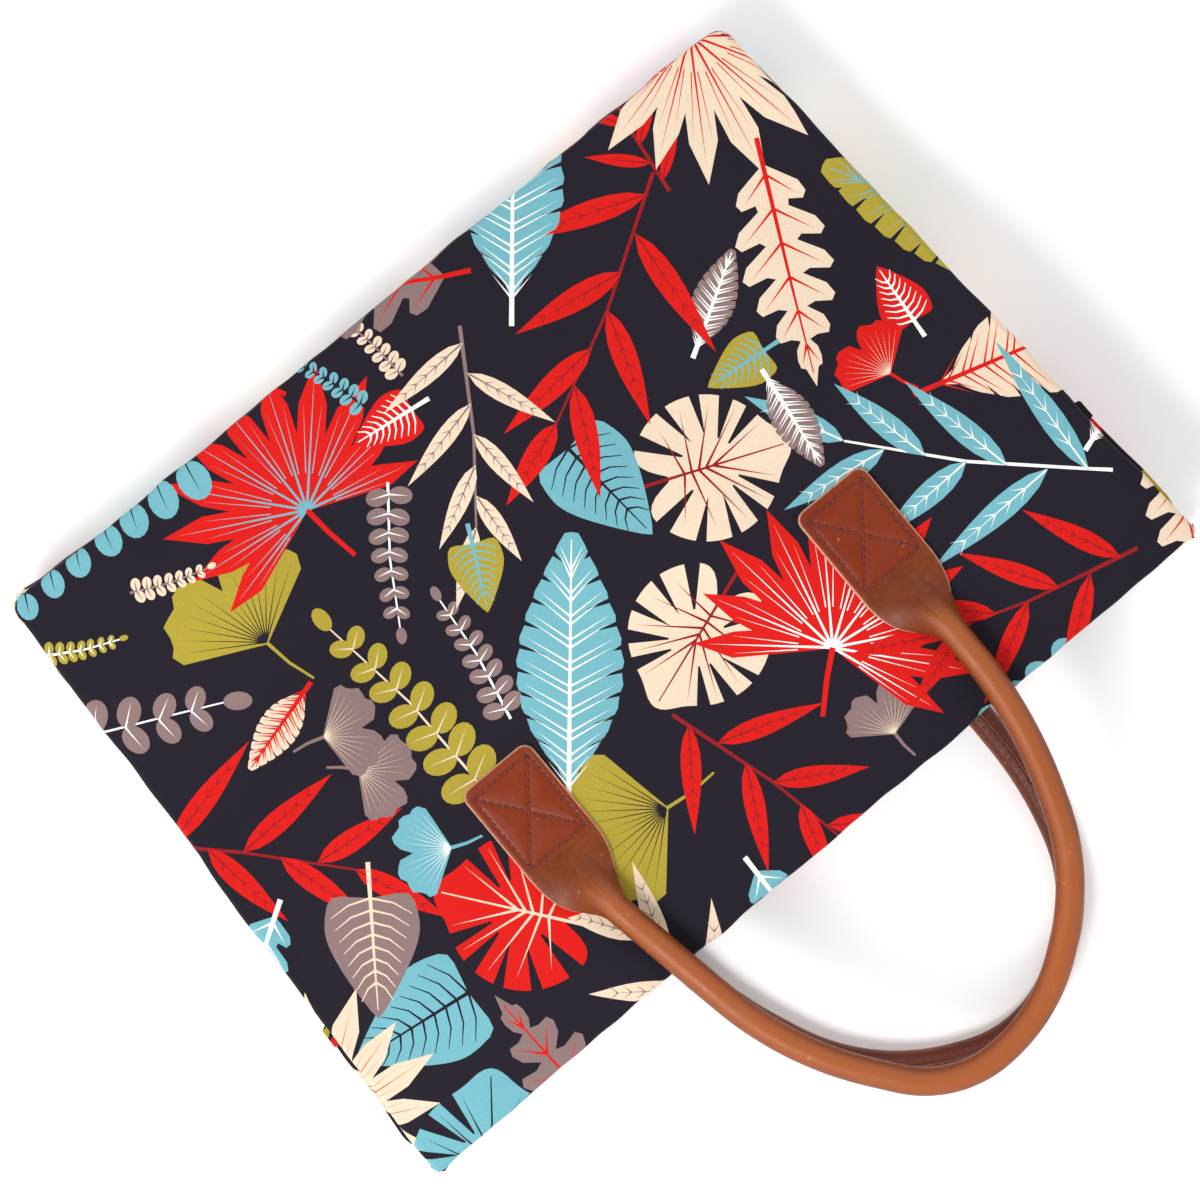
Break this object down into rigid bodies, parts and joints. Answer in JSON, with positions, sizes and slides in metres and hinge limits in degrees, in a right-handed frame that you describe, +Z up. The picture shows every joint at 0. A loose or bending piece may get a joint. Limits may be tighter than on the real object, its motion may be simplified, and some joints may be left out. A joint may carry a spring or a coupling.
{
  "type": "laptop bag",
  "caption": "Slim padded fabric laptop bag with rolled leather carrying handles, a zip round its top and an inner divider, lying on its back.",
  "frame": {"origin": "on the floor, on the bag's centreline, in the middle of the flat stretch of the back that rests on it", "axes": "+X to the right facing the front, +Y from the bottom seam to the handles, +Z up, out of the front face"},
  "size_m": [0.4106, 0.4117, 0.0679],
  "materials": {
    "printed_fabric": "matte woven polyester with a printed leaf pattern",
    "foam": "matte closed-cell foam",
    "lining": "matte plain-weave polyester",
    "leather": "satin tan leather",
    "core_cord": "matte twisted cotton cord",
    "backing": "matte stiff woven webbing",
    "zip_tape": "matte woven tape",
    "zip_coil": "satin nylon coil",
    "zip_metal": "satin nickel plate"
  },
  "bodies": {
    "bag": {"back_foam": "foam", "back_lining": "lining", "back_panel": "printed_fabric", "back_tab_backing_left": "backing", "back_tab_backing_right": "backing", "back_tab_left": "leather", "back_tab_right": "leather", "divider": "lining", "divider_strap": "backing", "front_foam": "foam", "front_lining": "lining", "front_panel": "printed_fabric", "front_tab_backing_left": "backing", "front_tab_backing_right": "backing", "front_tab_left": "leather", "front_tab_right": "leather", "gusset_foam_bottom": "foam", "gusset_foam_left": "foam", "gusset_foam_right": "foam", "gusset_lining": "lining", "main_gusset": "printed_fabric", "slip_pocket": "lining", "zip_coil_back": "zip_coil", "zip_coil_front": "zip_coil", "zip_end_tab_left": "printed_fabric", "zip_end_tab_right": "printed_fabric", "zip_strip_back": "printed_fabric", "zip_strip_front": "printed_fabric", "zip_tape_back": "zip_tape", "zip_tape_front": "zip_tape"},
    "front_handle": {"front_handle": "leather", "front_handle_core": "core_cord"},
    "back_handle": {"back_handle": "leather", "back_handle_core": "core_cord"},
    "slider_left": {"slider_left": "zip_metal"},
    "slider_right": {"slider_right": "zip_metal"},
    "pull_left": {"pull_left": "zip_metal"},
    "pull_right": {"pull_right": "zip_metal"}
  },
  "joints": [
    {"name": "front_handle_fold", "type": "hinge", "parent": "bag", "child": "front_handle", "pos_m": [0, 0.1815, 0.0583], "axis": [1, 0, 0], "range_deg": [0, 160]},
    {"name": "back_handle_fold", "type": "hinge", "parent": "bag", "child": "back_handle", "pos_m": [0, 0.1815, 0.0099], "axis": [-1, 0, 0], "range_deg": [0, 160]},
    {"name": "slider_left_slide", "type": "slide", "parent": "bag", "child": "slider_left", "axis": [-1, 0, 0], "range_m": [0, 0.155]},
    {"name": "slider_right_slide", "type": "slide", "parent": "bag", "child": "slider_right", "axis": [1, 0, 0], "range_m": [0, 0.155]},
    {"name": "pull_left_swing", "type": "hinge", "parent": "slider_left", "child": "pull_left", "pos_m": [-0.0065, 0.2434, 0.0341], "axis": [0, 0, -1], "range_deg": [0, 155]},
    {"name": "pull_right_swing", "type": "hinge", "parent": "slider_right", "child": "pull_right", "pos_m": [0.0065, 0.2434, 0.0341], "axis": [0, 0, 1], "range_deg": [0, 155]}
  ]
}
